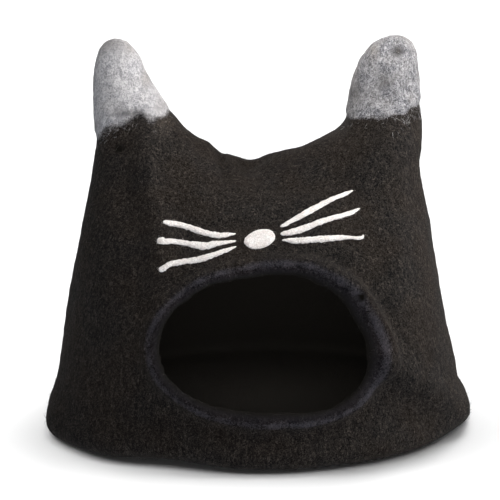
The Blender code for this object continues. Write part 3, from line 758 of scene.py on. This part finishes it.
def nose_wool():
    made = []
    turns = np.linspace(NOSE_FIRST, math.radians(90), NOSE_RINGS)
    rows = [(math.sin(t), math.cos(t)) for t in turns] + [NOSE_UNDER]
    for out, rise in rows:
        for k in range(NOSE_SIDES):
            turn = 2 * math.pi * k / NOSE_SIDES
            edge = sum((share * noise.noise(Vector((math.cos(turn), math.sin(turn), seed)) * often)
                        for often, share, seed in NOSE_EDGE), 1)
            wide = NOSE_WIDE * out * edge * math.cos(turn)
            high = NOSE_HIGH * out * edge * math.sin(turn)
            x = NOSE_X + wide * math.cos(NOSE_TILT) - high * math.sin(NOSE_TILT)
            z = NOSE_Z + wide * math.sin(NOSE_TILT) + high * math.cos(NOSE_TILT)
            wall, up = on_wall(x, z)
            lump = NOSE_LUMPS[1] * noise.noise(Vector((x, z, 0)) / NOSE_LUMPS[0])
            proud = NOSE_PROUD * math.copysign(abs(rise) ** NOSE_FLAT, rise)
            made.append(wall + up * (proud + lump))
    faces = [[a, d, c, b] for a, b, c, d in ring_faces(len(rows), NOSE_SIDES)]
    ends = [list(range(NOSE_SIDES)), list(range(len(made) - NOSE_SIDES, len(made)))[::-1]]
    piece = new_piece("nose_wool", made, faces + ends)
    close_outward(piece)
    return piece


nose = nose_wool()
print("nose:", len(nose.data.polygons), "faces")

# %% [markdown]
# ## Loose hairs
#
# Felt is never bare: hairs stand off it and soften its outline. Blender has a hair system, but
# here each hair becomes real faces, so that it is in every export too. A hair is a thin
# three-sided spike that starts under the surface, rises and bends over. A real one is 0.03 mm
# thick, far finer than a pixel, so these are thicker and fewer, and together they catch as much
# light. numpy works out all hairs of one wool at once.

# %% One mesh of hairs
HAIR_STOPS = (0.0, 0.35, 0.7, 1.0)      # shares of its length where a hair has a ring, and its tip
HAIR_ROOT = 0.0006                      # how deep it starts
HAIR_STEEP, HAIR_SINKS = 4, 0.75        # how steeply it leaves the felt, and how it sinks again
HAIR_TAPER = 0.7                        # share of its thickness that it loses along its length
HAIR_POINTS = 10                        # three rings of three points, and the tip


def hair_piece(name, roots, normals, along, lengths, lifts, bends, radii, shades):
    """One mesh of hairs. along is the way each one lies, lift how high its tip stands, bend how far
    it curls, and shade how light it is."""
    count = len(roots)
    along = along - normals * (along * normals).sum(1)[:, None]
    along /= np.linalg.norm(along, axis=1)[:, None]
    side = np.cross(normals, along)
    made = np.empty((count, HAIR_POINTS, 3))
    for ring, stop in enumerate(HAIR_STOPS):
        rise = HAIR_STEEP * lifts * stop * (1 - HAIR_SINKS * stop) - HAIR_ROOT * (1 - stop)
        middle = roots + along * (lengths * stop)[:, None] + normals * rise[:, None]
        middle += side * (bends * lengths * stop * stop)[:, None]
        if ring == 3:
            made[:, -1] = middle
            continue
        wide = (radii * (1 - HAIR_TAPER * stop))[:, None]
        for k in range(3):
            turn = 2 * math.pi * k / 3
            across = side * wide * math.cos(turn)
            made[:, 3 * ring + k] = middle + across + normals * wide * math.sin(turn)
    pattern = [[2, 1, 0], *ring_faces(3, 3)]
    pattern += [[6 + k, 6 + (k + 1) % 3, HAIR_POINTS - 1] for k in range(3)]
    faces = [[HAIR_POINTS * h + v for v in face] for h in range(count) for face in pattern]
    piece = new_piece(name, made.reshape(-1, 3), faces)
    write_values(piece, "shade", np.repeat(shades, HAIR_POINTS))
    print(name, "has", count, "hairs")
    return piece


# %% Where hairs grow
def scatter(piece, count, seed, wanted):
    """Random places on the faces that wanted() picks, spread evenly by area, with their normals."""
    mesh, pick = piece.data, np.random.default_rng(seed)
    corners = np.array(triangles(mesh))
    at = points_of(mesh)
    a, b, c = (at[corners[:, k]] for k in range(3))
    cross = np.cross(b - a, c - a)
    area = np.linalg.norm(cross, axis=1)
    facing = cross / np.maximum(area, 1e-12)[:, None]
    weight = area * wanted((a + b + c) / 3, facing)
    chosen = pick.choice(len(corners), count, p=weight / weight.sum())
    u, v = pick.random(count), pick.random(count)
    over = u + v > 1
    u[over], v[over] = 1 - u[over], 1 - v[over]
    spots = a[chosen] + (b - a)[chosen] * u[:, None] + (c - a)[chosen] * v[:, None]
    return spots, facing[chosen]


# %% Hairs of the black shell
BLACK_HAIRS = 11000
STANDING = 0.25                  # share of them that stand up, the others lie flat
OUTER_FACE = -0.02               # faces that look away from MIDDLE, and the doorway's edge
HAIRS_ABOVE = 0.004              # none grow on the underside
THIN_ON_GREY = 0.93              # how far they thin out on the grey wool
MOSTLY_DARK = 2.5                # a power above 1 makes most of them dark


def black_share(middle, facing):
    """Where black hairs grow: outside, on the doorway's edge, and thinly on the ears' grey."""
    outer = ((middle - MIDDLE) * facing).sum(1) > OUTER_FACE
    on_grey = step(height_over_edge(middle), *WAVES_START)
    return outer * (middle[:, 2] > HAIRS_ABOVE) * (1 - THIN_ON_GREY * on_grey)


pick = np.random.default_rng(5)
spots, facing = scatter(shell, BLACK_HAIRS, seed=6, wanted=black_share)
standing = pick.random(BLACK_HAIRS) < STANDING
black_hairs = hair_piece(
    "black_wool_hairs", spots, facing, pick.normal(size=(BLACK_HAIRS, 3)),
    lengths=pick.uniform(0.003, 0.0085, BLACK_HAIRS),
    lifts=np.where(standing, pick.uniform(0.0010, 0.0024, BLACK_HAIRS),
                   pick.uniform(0.0002, 0.0008, BLACK_HAIRS)),
    bends=pick.uniform(-0.6, 0.6, BLACK_HAIRS), radii=pick.uniform(0.00005, 0.00010, BLACK_HAIRS),
    shades=pick.random(BLACK_HAIRS) ** MOSTLY_DARK,
)

# %% Hairs of the grey ear ends
GREY_HAIRS, STRAYED = 2600, 420
STRAY_MOST = ((-0.148, 0.012), (0.150, 0.016))     # where most of them are: x and reach on each ear
STRAY_ELSEWHERE = 0.12                             # how many there are in other places
STRAY_DOWN = -1.6                                  # how strongly they point down
STRAY_FROM_TO, STRAY_END = (-0.020, -0.001), 0.002     # heights over the edge


def near_edge(middle, facing):
    """Most of the grey hairs that strayed into the black lie just under the edge."""
    over = height_over_edge(middle)
    outer = ((middle - MIDDLE) * facing).sum(1) > 0
    most = sum(np.exp(-(((middle[:, 0] - x) / reach) ** 2)) for x, reach in STRAY_MOST)
    return outer * step(over, *STRAY_FROM_TO) * (over < STRAY_END) * (STRAY_ELSEWHERE + most)


def above_edge(middle, facing):
    return height_over_edge(middle) > 0


grown = [scatter(layer, GREY_HAIRS // 2, seed=31, wanted=above_edge)
         for layer in grey_layers.values()]
grown.append(scatter(shell, STRAYED, seed=33, wanted=near_edge))
spots, facing = (np.vstack(part) for part in zip(*grown))
total = len(spots)
lie = pick.normal(size=(total, 3))
lie[-STRAYED:, 2] += STRAY_DOWN
grey_hairs = hair_piece(
    "grey_wool_hairs", spots, facing, lie,
    lengths=pick.uniform(0.003, 0.009, total), lifts=pick.uniform(0.0003, 0.0013, total),
    bends=pick.uniform(-0.6, 0.6, total), radii=pick.uniform(0.00006, 0.00012, total),
    shades=pick.random(total),
)

# %% Hairs of the white wool
WHITE_HAIRS_A_STRAND, WHITE_HAIRS_ON_NOSE = 200, 180
STRAND_LEAN = 0.45        # how far they turn from the strand's own way
SEEN_FACE = 0.2           # they grow on faces that look to the front: their y is below this


def edge_hairs(piece, count, seed, flow):
    """Hairs that lie along a strand, a little across it, so that some leave its edge."""
    at, out = scatter(piece, count, seed, lambda middle, facing: facing[:, 1] < SEEN_FACE)
    lean = np.random.default_rng(seed + 1).normal(scale=STRAND_LEAN, size=(count, 3))
    return at, out, flow + lean


grown = []
for k, (name, piece) in enumerate(strands.items()):
    rows = STRANDS[name]
    flow = np.array([rows[-1][0] - rows[0][0], 0, rows[-1][1] - rows[0][1]])
    flow /= np.linalg.norm(flow)
    grown.append(edge_hairs(piece, WHITE_HAIRS_A_STRAND, seed=41 + 2 * k, flow=flow))
grown.append(edge_hairs(nose, WHITE_HAIRS_ON_NOSE, seed=61, flow=np.zeros(3)))
spots, facing, flows = (np.vstack(part) for part in zip(*grown))
total = len(spots)
white_hairs = hair_piece(
    "white_wool_hairs", spots, facing, flows,
    lengths=pick.uniform(0.002, 0.0055, total), lifts=pick.uniform(0.0001, 0.0005, total),
    bends=pick.uniform(-0.4, 0.4, total), radii=pick.uniform(0.00005, 0.00009, total),
    shades=pick.random(total),
)

# %% [markdown]
# ## Materials
#
# Everything here is sheep's wool, and wool is matt: light goes in between the hairs and comes out
# in all directions, and hairs that stand up catch a little of it at grazing angles. So each wool
# is a Principled BSDF with nearly full roughness and some sheen, which was made for just that.
# What differs is the colour and the pattern. Every pattern is worked out from a real size in
# millimetres, given with the wool.

# %% Colours and nodes
def linear(code):
    """An sRGB hex colour as the linear numbers that a shader needs."""
    shares = [int(code[k:k + 2], 16) / 255 for k in (1, 3, 5)]
    return (*[s / 12.92 if s <= 0.04045 else ((s + 0.055) / 1.055) ** 2.4 for s in shares], 1.0)


def empty_nodes(made):
    """Gives a new material or room an empty node tree."""
    made.use_nodes = True
    made.node_tree.nodes.clear()
    return made


def add_node(material, kind, inputs=None, **settings):
    """Adds one node. An input is given a value, or another node's socket to be linked to."""
    node = material.node_tree.nodes.new(kind)
    for name, value in settings.items():
        setattr(node, name, value)
    for name, value in (inputs or {}).items():
        if isinstance(value, bpy.types.NodeSocket):
            material.node_tree.links.new(value, node.inputs[name])
        else:
            node.inputs[name].default_value = value
    return node


def per_metre(millimetres):
    """The scale of a noise whose lumps are this wide."""
    return 1000 / millimetres


print("sRGB #808080 is", round(linear("#808080")[0], 3), "for a shader")

# %% [markdown]
# ### Wool
#
# One recipe serves all the wools. A noise that is bent round itself draws the single curled hairs,
# light and dark. A real hair is 0.03 mm thick and far too fine to show, so the pattern is drawn 1
# to 1.7 mm wide. A second noise, stretched upright, gives the crimp, the small waves that rubbing
# leaves. A broad noise gives patches where another batch of wool lay on top. The hairs and the
# crimp also feed the bump, so light and dark hairs stand at different heights.

# %% The four wools
Wool = namedtuple("Wool", "name dark light fleck patch_a patch_b patch_mm patch_share "
                          "hair_mm crimp_mm sheen sheen_tint bump_mm")
BLACK = Wool("black_wet_felted_wool", dark="#080707", light="#35302b", fleck="#675e56",
             patch_a="#17181e", patch_b="#2b211c", patch_mm=45, patch_share=0.18,
             hair_mm=1.6, crimp_mm=3.0, sheen=0.04, sheen_tint="#9c9186", bump_mm=1.8)
GREY_LEFT = Wool("light_grey_wet_felted_wool", dark="#7c7a7c", light="#b9b6b6", fleck="#cecac8",
                 patch_a="#87888e", patch_b="#b9b6b3", patch_mm=16, patch_share=0.12,
                 hair_mm=1.7, crimp_mm=3.4, sheen=0.12, sheen_tint="#efe6d6", bump_mm=0.9)
GREY_RIGHT = Wool("mid_grey_wet_felted_wool", dark="#3a383a", light="#9a989a", fleck="#c2bfbd",
                  patch_a="#57585d", patch_b="#8e8b89", patch_mm=14, patch_share=0.30,
                  hair_mm=1.7, crimp_mm=3.4, sheen=0.12, sheen_tint="#efe6d6", bump_mm=0.9)
WHITE = Wool("white_needled_wool", dark="#b3aca6", light="#f3eeea", fleck="#faf7f4",
             patch_a="#e2d6d1", patch_b="#f2eeea", patch_mm=7, patch_share=0.40,
             hair_mm=1.0, crimp_mm=1.8, sheen=0.05, sheen_tint="#fff4e6", bump_mm=0.5)
LIP_TINT = "#dfe2ff"                # the rubbed edge's colour against the wall's
CREST_HIGHLIGHT = "#74717a"                  # painted highlight along the roll's crest
INSIDE = ("#201e1b", "#34312d")     # darkest and lightest of the inner wool
PAINTED_SHADE = "#13110e"                  # painted shade at the cut edge and in the pits
BROWN = ("#2e2823", "#8a7f73")      # darkest and lightest brown: real brown locks, and painted warm rim light on the ears' edges
print("wools:", ", ".join(wool.name for wool in (BLACK, GREY_LEFT, GREY_RIGHT, WHITE)))

# %% One wool's pattern
UPRIGHT = (1.0, 1.0, 0.42)          # how the crimp is stretched: a share below 1 makes it longer
CRIMP_SHARE = 0.45                  # how much the crimp shows against the single hairs
TONE_FROM, TONE_TO = 0.65, 0.80     # hair and crimp together: the darkest and the lightest wool
FLECK_FROM, FLECK_TO, FLECK_MOST = 0.84, 0.95, 0.8     # where a light hair end shows, and how much
BATCH_FROM, BATCH_TO = 0.38, 0.62


def wool_colours(material, wool):
    """The nodes of one wool's colour. Returns the sockets of its colour, bump height and hairs."""
    place = add_node(material, "ShaderNodeTexCoord").outputs["Object"]
    hairs = add_node(material, "ShaderNodeTexNoise",
                     {"Vector": place, "Scale": per_metre(wool.hair_mm), "Detail": 2.0,
                      "Roughness": 0.65, "Distortion": 1.6})
    upright = add_node(material, "ShaderNodeMapping", {"Vector": place, "Scale": UPRIGHT})
    crimp = add_node(material, "ShaderNodeTexNoise",
                     {"Vector": upright.outputs[0], "Scale": per_metre(wool.crimp_mm),
                      "Detail": 2.0, "Distortion": 1.4})
    broad = add_node(material, "ShaderNodeTexNoise",
                     {"Vector": place, "Scale": per_metre(wool.patch_mm), "Detail": 1.0})
    fainter = add_node(material, "ShaderNodeMath", {0: crimp.outputs[0], 1: CRIMP_SHARE},
                       operation="MULTIPLY")
    height = add_node(material, "ShaderNodeMath", {0: hairs.outputs[0], 1: fainter.outputs[0]},
                      operation="ADD")
    tone = add_node(material, "ShaderNodeMapRange",
                    {"Value": height.outputs[0], "From Min": TONE_FROM, "From Max": TONE_TO})
    wools = add_node(material, "ShaderNodeMix",
                     {0: tone.outputs[0], 6: linear(wool.dark), 7: linear(wool.light)},
                     data_type="RGBA")
    batch = add_node(material, "ShaderNodeMapRange",
                     {"Value": broad.outputs[0], "From Min": BATCH_FROM, "From Max": BATCH_TO})
    patch = add_node(material, "ShaderNodeMix",
                     {0: batch.outputs[0], 6: linear(wool.patch_a), 7: linear(wool.patch_b)},
                     data_type="RGBA")
    patched = add_node(material, "ShaderNodeMix",
                       {0: wool.patch_share, 6: wools.outputs[2], 7: patch.outputs[2]},
                       data_type="RGBA")
    bright = add_node(material, "ShaderNodeMapRange",
                      {"Value": height.outputs[0], "From Min": FLECK_FROM, "From Max": FLECK_TO,
                       "To Max": FLECK_MOST})
    colour = add_node(material, "ShaderNodeMix",
                      {0: bright.outputs[0], 6: patched.outputs[2], 7: linear(wool.fleck)},
                      data_type="RGBA")
    return colour.outputs[2], height.outputs[0], hairs.outputs[0]


# %% [markdown]
# ### One wool felted into another
#
# Where two wools meet, single hairs of each run into the other. The mesh says how much of the
# other wool lies at a point, and the hair pattern is added to that: light hairs reach the limit
# first, so the edge between the wools frays hair by hair. The painted highlight and the painted
# shade round the doorway are laid on in the same way.

# %% Felted in
# share and hair pattern together: where the other wool starts, and where it is full
FELTED_FROM_TO = {
    "grey_share": (0.84, 1.16), "dark_share": (0.62, 1.20), "brown_share": (0.70, 1.50),
    "inside_share": (0.55, 1.45), "lip_share": (0.55, 1.45), "crest_highlight_share": (1.00, 2.70),
    "painted_shade_share": (0.45, 1.45),
}


def felted_in(material, base, other, attribute, hairs):
    """Mixes another wool into this one, hair by hair, as much as the mesh's attribute says."""
    low, high = FELTED_FROM_TO[attribute]
    share = add_node(material, "ShaderNodeAttribute", attribute_name=attribute).outputs["Fac"]
    frayed = add_node(material, "ShaderNodeMath", {0: share, 1: hairs}, operation="ADD")
    amount = add_node(material, "ShaderNodeMapRange",
                      {"Value": frayed.outputs[0], "From Min": low, "From Max": high})
    mixed = add_node(material, "ShaderNodeMix", {0: amount.outputs[0], 6: base, 7: other},
                     data_type="RGBA")
    return mixed.outputs[2]


# %% The whole wool
WOOL_IOR = 1.54           # keratin
WOOL_ROUGHNESS = 0.95     # hairs lie every way, so nothing is mirrored
WOOL_GLOSS = 0.05         # each hair shades its neighbours' gloss; 0.5 would be a bare surface
WOOL_SHEEN_ROUGHNESS = 0.5


def wool_material(wool, mixed_with=None):
    """A wool's material. mixed_with is the wool on the other side of a felted edge: the mesh's
    grey_share says how much of the grey wool lies at each point."""
    material = empty_nodes(bpy.data.materials.new(wool.name))
    colour, height, hairs = wool_colours(material, wool)
    if mixed_with:
        other, _, _ = wool_colours(material, mixed_with)
        black_side, grey_side = (colour, other) if wool is BLACK else (other, colour)
        grey_side = felted_in(material, grey_side, black_side, "dark_share", hairs)
        colour = felted_in(material, black_side, grey_side, "grey_share", hairs)
        # brown: real brown locks, and painted warm rim light on the ears' edges
        brown = add_node(material, "ShaderNodeMix",
                         {0: hairs, 6: linear(BROWN[0]), 7: linear(BROWN[1])}, data_type="RGBA")
        colour = felted_in(material, colour, brown.outputs[2], "brown_share", hairs)
    if wool is BLACK:
        inside = add_node(material, "ShaderNodeMix",
                          {0: hairs, 6: linear(INSIDE[0]), 7: linear(INSIDE[1])}, data_type="RGBA")
        colour = felted_in(material, colour, inside.outputs[2], "inside_share", hairs)
        lip = add_node(material, "ShaderNodeMix", {0: 1.0, 6: colour, 7: linear(LIP_TINT)},
                       data_type="RGBA", blend_type="MULTIPLY")
        colour = felted_in(material, colour, lip.outputs[2], "lip_share", hairs)
        # painted highlight along the roll's crest
        colour = felted_in(material, colour, linear(CREST_HIGHLIGHT), "crest_highlight_share", hairs)
        # painted shade at the cut edge and in the two pits
        colour = felted_in(material, colour, linear(PAINTED_SHADE), "painted_shade_share", hairs)
    bump = add_node(material, "ShaderNodeBump",
                    {"Height": height, "Strength": 1.0, "Distance": wool.bump_mm / 1000})
    surface = add_node(material, "ShaderNodeBsdfPrincipled",
                       {"Base Color": colour, "Roughness": WOOL_ROUGHNESS, "IOR": WOOL_IOR,
                        "Specular IOR Level": WOOL_GLOSS, "Sheen Weight": wool.sheen,
                        "Sheen Roughness": WOOL_SHEEN_ROUGHNESS,
                        "Sheen Tint": linear(wool.sheen_tint), "Normal": bump.outputs[0]})
    add_node(material, "ShaderNodeOutputMaterial", {"Surface": surface.outputs[0]})
    return material


# %% [markdown]
# ### Single hairs
#
# A loose hair is too thin for a pattern, so each one has a single colour. Its shade was drawn with
# its shape and is kept on the mesh: 0 is the darkest of its wool, and 1 the lightest.

# %% Hair recipe
HAIR_ROUGHNESS = 0.7      # one hair alone is glossier than the felt


def hair_material(name, dark, light):
    material = empty_nodes(bpy.data.materials.new(name))
    shade = add_node(material, "ShaderNodeAttribute", attribute_name="shade").outputs["Fac"]
    colour = add_node(material, "ShaderNodeMix",
                      {0: shade, 6: linear(dark), 7: linear(light)}, data_type="RGBA")
    surface = add_node(material, "ShaderNodeBsdfPrincipled",
                       {"Base Color": colour.outputs[2], "Roughness": HAIR_ROUGHNESS,
                        "IOR": WOOL_IOR})
    add_node(material, "ShaderNodeOutputMaterial", {"Surface": surface.outputs[0]})
    return material


# %% Each piece gets its wool
white = wool_material(WHITE)
shell.data.materials.append(wool_material(BLACK, mixed_with=GREY_LEFT))
for side, wool in (("left", GREY_LEFT), ("right", GREY_RIGHT)):
    grey_layers[side].data.materials.append(wool_material(wool, mixed_with=BLACK))
for piece in [*strands.values(), nose]:
    piece.data.materials.append(white)
black_hairs.data.materials.append(hair_material("black_hair", "#0d0c0b", "#4f4842"))
grey_hairs.data.materials.append(hair_material("grey_hair", "#6d6a70", "#cfcbc9"))
white_hairs.data.materials.append(hair_material("white_hair", "#cdc5bd", "#efe9e2"))
print("materials:", ", ".join(sorted(m.name for m in bpy.data.materials if m.users)))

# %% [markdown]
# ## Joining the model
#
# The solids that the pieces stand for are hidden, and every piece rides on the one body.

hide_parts("felt_body")
for side, layer in grey_layers.items():
    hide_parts("ear_tip_" + side)
for name, piece in strands.items():
    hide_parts("whisker_" + name)
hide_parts("nose")
dressing = [*grey_layers.values(), *strands.values(), nose, black_hairs, grey_hairs, white_hairs]
for piece in [shell, *dressing]:
    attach(piece, "root")
print("pieces that dress the shell:", len(dressing))

# %% [markdown]
# ## Floor and light
#
# The cave stands on white paper that runs on to the horizon, and is lit as small things are in a
# studio: by softboxes close by. Close lights fall off with distance, so the ridge and the right
# wall get more than the low left side. The paper has lamps of its own, which light nothing else:
# most of them stand behind the cave, so they keep the paper white and lay a soft shadow before it.
# What the paper throws back is a faint cool glow from below. The Standard view keeps white white.

# %% Paper
FLOOR_SIZE = 400          # it ends too far off to be seen

bpy.ops.mesh.primitive_plane_add(size=FLOOR_SIZE)
floor = bpy.context.object
floor.name = "studio_floor"
paper = empty_nodes(bpy.data.materials.new("white_paper"))
matt = add_node(paper, "ShaderNodeBsdfDiffuse", {"Color": linear("#f2f2f2")})
add_node(paper, "ShaderNodeOutputMaterial", {"Surface": matt.outputs[0]})
floor.data.materials.append(paper)
# It throws nothing back itself: the room's lower half stands in for its bounce.
floor.visible_diffuse = floor.visible_shadow = False

# %% Room
ROOM_LOW, ROOM_HIGH = 1.0, 0.05             # brightness near the horizon and overhead
PAPER_GLOW, GLOW_TINT = 0.85, "#e6f1ff"      # what the lit paper throws back up at the cave
BELOW_HORIZON = -0.02                       # it comes from heights below this one
ROOM_FADE = (math.sin(math.radians(2)), math.sin(math.radians(12)))

room = empty_nodes(bpy.data.worlds.new("soft_room"))
bpy.context.scene.world = room
heading = add_node(room, "ShaderNodeTexCoord").outputs["Generated"]
upward = add_node(room, "ShaderNodeSeparateXYZ", {0: heading}).outputs["Z"]
dimmed = add_node(room, "ShaderNodeMapRange",
                  {"Value": upward, "From Min": ROOM_FADE[0], "From Max": ROOM_FADE[1],
                   "To Min": ROOM_LOW, "To Max": ROOM_HIGH})
below = add_node(room, "ShaderNodeMath", {0: upward, 1: BELOW_HORIZON}, operation="LESS_THAN")
either = add_node(room, "ShaderNodeMix", {0: below.outputs[0], 2: dimmed.outputs[0], 3: PAPER_GLOW},
                  data_type="FLOAT")
tint = add_node(room, "ShaderNodeMix",
                {0: below.outputs[0], 6: linear("#ffffff"), 7: linear(GLOW_TINT)}, data_type="RGBA")
glow = add_node(room, "ShaderNodeBackground",
                {"Color": tint.outputs[2], "Strength": either.outputs[0]})
add_node(room, "ShaderNodeOutputWorld", {"Surface": glow.outputs[0]})
print("room:", len(room.node_tree.nodes), "nodes")

# %% Where the lamps are
Softbox = namedtuple("Softbox", "name place watts")
SOFTBOXES = [
    Softbox("softbox_above", (0.10, -0.10, 0.68), 2.45),
    Softbox("softbox_front", (0.0, -0.90, 0.35), 1.75),
    Softbox("softbox_left_above", (-0.12, -0.20, 0.70), 0.5),
    Softbox("softbox_right", (0.75, -0.30, 0.30), 4.4),
    Softbox("softbox_right_high", (0.60, 0.0, 0.50), 2.0),
    Softbox("softbox_behind", (-0.15, 0.95, 0.40), 2.6),
]
SOFTBOX_WIDE, SOFTBOX_AIM = 0.30, Vector((0, 0, 0.2))
GLOW_PLACE, GLOW_WIDE, GLOW_WATTS = (0.0, 0.0, 0.130), 0.05, 0.24    # a small lamp inside the cave
PaperLight = namedtuple("PaperLight", "name turn rise angle strength")    # angles in degrees
PAPER_LIGHTS = [
    PaperLight("paper_behind_right", 150, 60, 30, 2.4),
    PaperLight("paper_behind_left", 210, 60, 30, 1.0),
    PaperLight("paper_far_left", 240, 60, 30, 0.5),
    PaperLight("paper_left", 270, 50, 40, 1.0),
    PaperLight("paper_right", 90, 50, 40, 0.9),
]

# %% Lamps, each lighting the cave alone or the paper alone
cave_only = bpy.data.collections.new("cave_only")
for piece in [shell, *dressing]:
    cave_only.objects.link(piece)
paper_only = bpy.data.collections.new("paper_only")
paper_only.objects.link(floor)


def lamp(light, place, turned, lights_only):
    made = bpy.data.objects.new(light.name, light)
    made.location, made.rotation_euler = place, turned
    made.visible_camera = False
    made.light_linking.receiver_collection = lights_only
    bpy.context.scene.collection.objects.link(made)


def disk(name, place, aim, wide, watts):
    light = bpy.data.lights.new(name, "AREA")
    light.shape, light.size, light.energy = "DISK", wide, watts
    lamp(light, place, (aim - Vector(place)).to_track_quat("-Z", "Y").to_euler(), cave_only)


for box in SOFTBOXES:
    disk(box.name, box.place, SOFTBOX_AIM, SOFTBOX_WIDE, box.watts)
light = bpy.data.lights.new("glow_inside", "POINT")
light.energy, light.shadow_soft_size = GLOW_WATTS, GLOW_WIDE
lamp(light, GLOW_PLACE, (0, 0, 0), cave_only)
for row in PAPER_LIGHTS:
    light = bpy.data.lights.new(row.name, "SUN")
    light.energy, light.angle = row.strength, math.radians(row.angle)
    lamp(light, (0, 0, 1), (math.radians(90 - row.rise), 0, math.radians(row.turn)), paper_only)
bpy.context.scene.view_settings.view_transform = "Standard"
print("lamps:", len(SOFTBOXES) + 1, "on the cave and", len(PAPER_LIGHTS), "on the paper")
